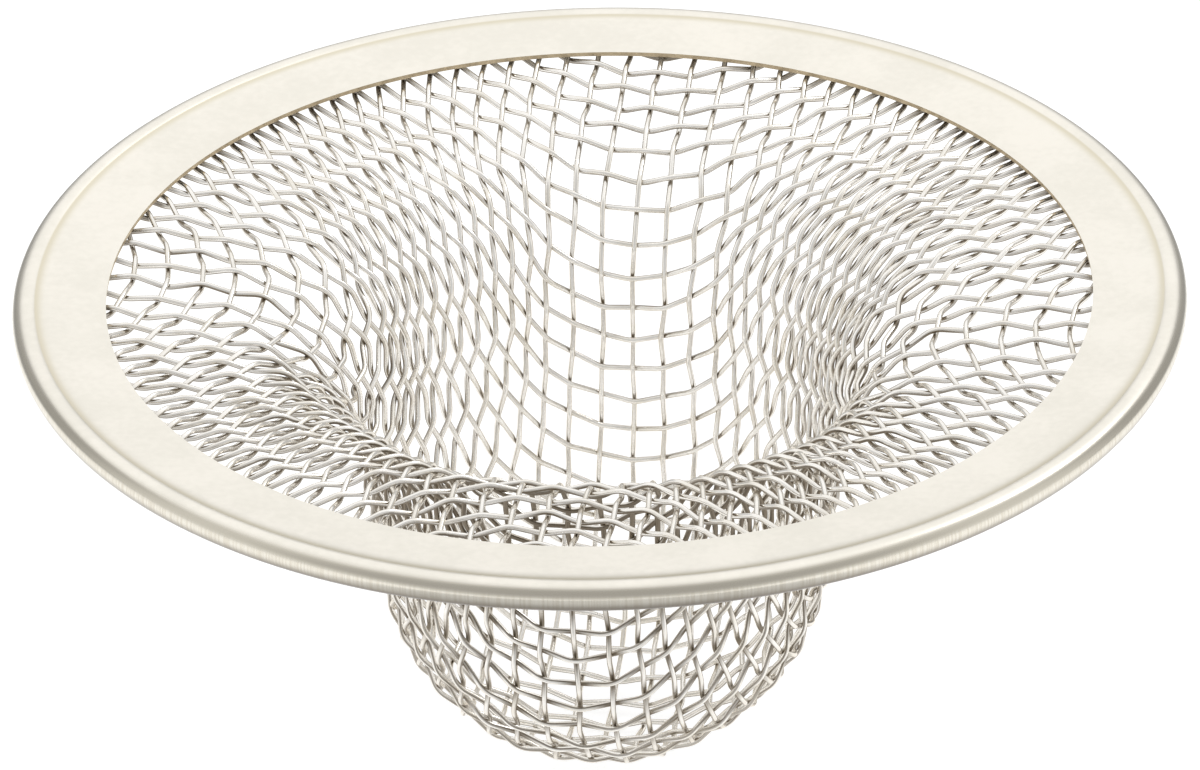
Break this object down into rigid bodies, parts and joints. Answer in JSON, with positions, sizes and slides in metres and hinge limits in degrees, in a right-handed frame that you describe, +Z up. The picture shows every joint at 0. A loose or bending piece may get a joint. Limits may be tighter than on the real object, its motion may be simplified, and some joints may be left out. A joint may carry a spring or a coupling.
{
  "type": "sink strainer",
  "caption": "Round hat-shaped drain strainer: a deep cup of plain-woven steel wire cloth with a wide dished flange, its edge held in a hemmed flat rim ring.",
  "frame": {"origin": "on the axis, level with the flat underside of the rim's lip, which the strainer rests on", "axes": "+Z up along the axis, out of the cup's mouth; +Y away from the camera and +X to its right"},
  "size_m": [0.07, 0.07, 0.0314],
  "materials": {
    "rim_steel": "satin pressed sheet",
    "wire_steel": "bright drawn wire"
  },
  "bodies": {
    "root": {"rim_ring": "rim_steel", "warp_wire_centre": "wire_steel", "warp_wire_pair_01": "wire_steel", "warp_wire_pair_02": "wire_steel", "warp_wire_pair_03": "wire_steel", "warp_wire_pair_04": "wire_steel", "warp_wire_pair_05": "wire_steel", "warp_wire_pair_06": "wire_steel", "warp_wire_pair_07": "wire_steel", "warp_wire_pair_08": "wire_steel", "warp_wire_pair_09": "wire_steel", "warp_wire_pair_10": "wire_steel", "warp_wire_pair_11": "wire_steel", "warp_wire_pair_12": "wire_steel", "warp_wire_pair_13": "wire_steel", "warp_wire_pair_14": "wire_steel", "warp_wire_pair_15": "wire_steel", "warp_wire_pair_16": "wire_steel", "warp_wire_pair_17": "wire_steel", "warp_wire_pair_18": "wire_steel", "warp_wire_pair_19": "wire_steel", "warp_wire_pair_20": "wire_steel", "warp_wire_pair_21": "wire_steel", "warp_wire_pair_22": "wire_steel", "warp_wire_pair_23": "wire_steel", "warp_wire_pair_24": "wire_steel", "warp_wire_pair_25": "wire_steel", "weft_wire_centre": "wire_steel", "weft_wire_pair_01": "wire_steel", "weft_wire_pair_02": "wire_steel", "weft_wire_pair_03": "wire_steel", "weft_wire_pair_04": "wire_steel", "weft_wire_pair_05": "wire_steel", "weft_wire_pair_06": "wire_steel", "weft_wire_pair_07": "wire_steel", "weft_wire_pair_08": "wire_steel", "weft_wire_pair_09": "wire_steel", "weft_wire_pair_10": "wire_steel", "weft_wire_pair_11": "wire_steel", "weft_wire_pair_12": "wire_steel", "weft_wire_pair_13": "wire_steel", "weft_wire_pair_14": "wire_steel", "weft_wire_pair_15": "wire_steel", "weft_wire_pair_16": "wire_steel", "weft_wire_pair_17": "wire_steel", "weft_wire_pair_18": "wire_steel", "weft_wire_pair_19": "wire_steel", "weft_wire_pair_20": "wire_steel", "weft_wire_pair_21": "wire_steel", "weft_wire_pair_22": "wire_steel", "weft_wire_pair_23": "wire_steel", "weft_wire_pair_24": "wire_steel", "weft_wire_pair_25": "wire_steel"}
  },
  "joints": []
}
